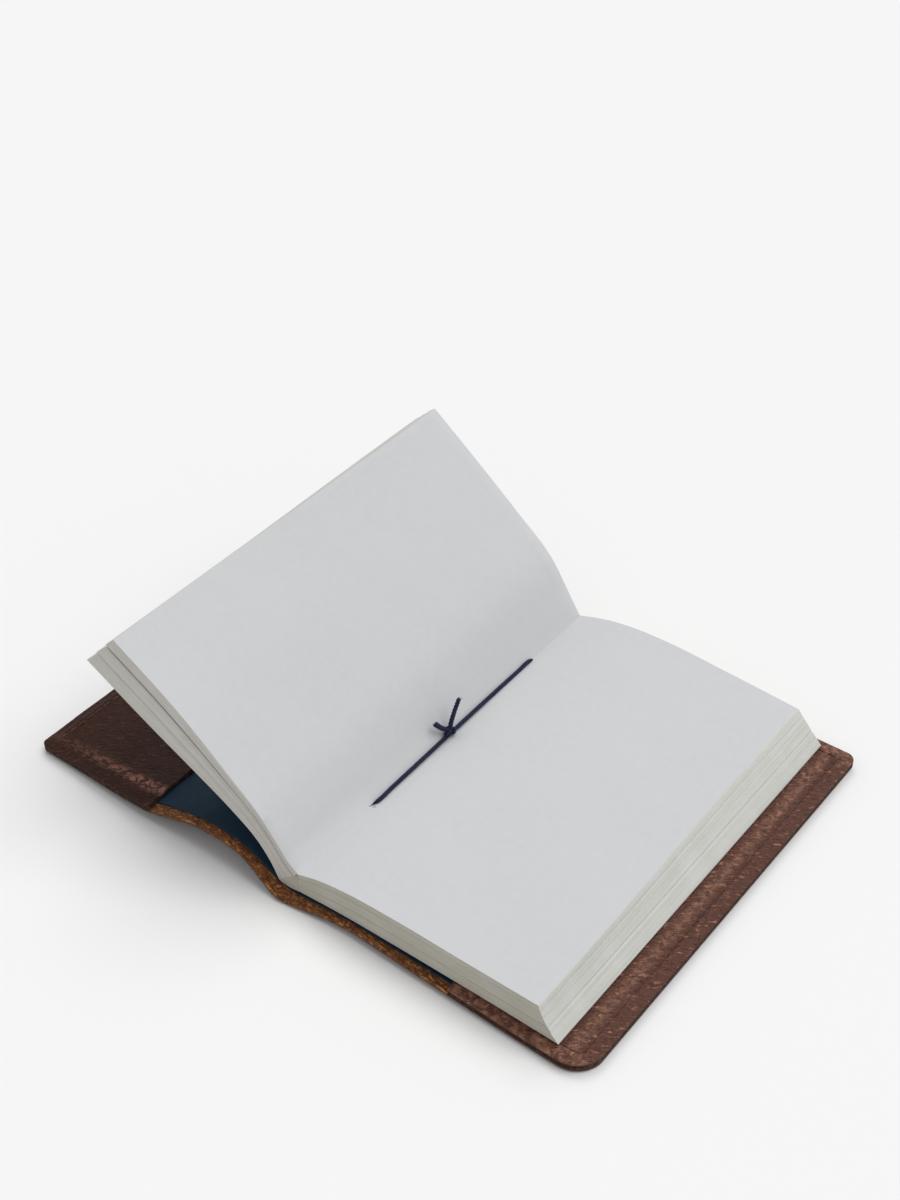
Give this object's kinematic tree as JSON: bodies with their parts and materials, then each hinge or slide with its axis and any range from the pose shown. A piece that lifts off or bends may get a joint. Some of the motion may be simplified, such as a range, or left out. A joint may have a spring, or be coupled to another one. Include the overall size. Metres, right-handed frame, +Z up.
{
  "type": "leather notebook cover",
  "caption": "Open pocket notebook of sewn paper signatures with a blue card cover, its ends held in the flaps of a brown leather cover.",
  "frame": {"origin": "underside of the spine, on the table, below the centre fold and half way along it", "axes": "+Z up, +Y along the spine away from the reader, +X towards the back cover's fore-edge"},
  "size_m": [0.2033, 0.1466, 0.068],
  "materials": {
    "leather_grain": "oiled brown leather, darker grain side, tan cut edge",
    "leather_flap": "oiled dark brown leather with creased grain",
    "paper": "uncoated off-white paper",
    "blue_card": "matt dark blue card",
    "sewing_thread": "waxed navy sewing thread",
    "stitch_thread": "brown waxed stitching thread"
  },
  "bodies": {
    "root": {"back_card": "blue_card", "back_cover_leather": "leather_grain", "back_flap_leather": "leather_flap", "back_flap_stitching": "stitch_thread", "centre_thread": "sewing_thread", "signature_3_right": "paper", "signature_4": "paper", "signature_5": "paper", "spine_card": "blue_card", "spine_thread_1": "sewing_thread", "spine_thread_2": "sewing_thread", "spine_thread_3": "sewing_thread", "spine_thread_4": "sewing_thread", "spine_thread_5": "sewing_thread", "thread_knot": "sewing_thread", "thread_tail_long": "sewing_thread", "thread_tail_short": "sewing_thread"},
    "page_folds": {"signature_1_fold": "paper", "signature_2_fold": "paper", "signature_3_fold_left": "paper"},
    "left_leaves": {"signature_1_leaves": "paper", "signature_2_leaves": "paper", "signature_3_leaves_left": "paper"},
    "front_hinge": {"hinge_leather": "leather_grain", "hinge_card": "blue_card"},
    "front_cover": {"front_cover_leather": "leather_grain", "front_card": "blue_card", "front_flap_leather": "leather_flap", "front_flap_stitching": "stitch_thread"}
  },
  "joints": [
    {"name": "page_turn", "type": "hinge", "parent": "root", "child": "page_folds", "pos_m": [-0.00015, 0, 0.0107], "axis": [0, 1, 0], "range_deg": [0, 109.6], "deforming": ["centre_thread", "thread_knot", "thread_tail_long", "thread_tail_short"]},
    {"name": "leaf_flex", "type": "hinge", "parent": "page_folds", "child": "left_leaves", "pos_m": [-0.0118, 0, 0.028], "axis": [0, 1, 0], "range_deg": [0, 30.3]},
    {"name": "hinge_flex", "type": "hinge", "parent": "page_folds", "child": "front_hinge", "pos_m": [-0.0125, 0, 0.0143], "axis": [0, 1, 0], "range_deg": [0, 35.1]},
    {"name": "cover_swing", "type": "hinge", "parent": "front_hinge", "child": "front_cover", "pos_m": [-0.0125, 0, 0.0143], "axis": [0, 1, 0], "range_deg": [0, 26]}
  ],
  "couplings": [
    {"joint": "leaf_flex", "follows": "page_turn", "ratio": 0.2759},
    {"joint": "hinge_flex", "follows": "page_turn", "ratio": 0.3193}
  ]
}
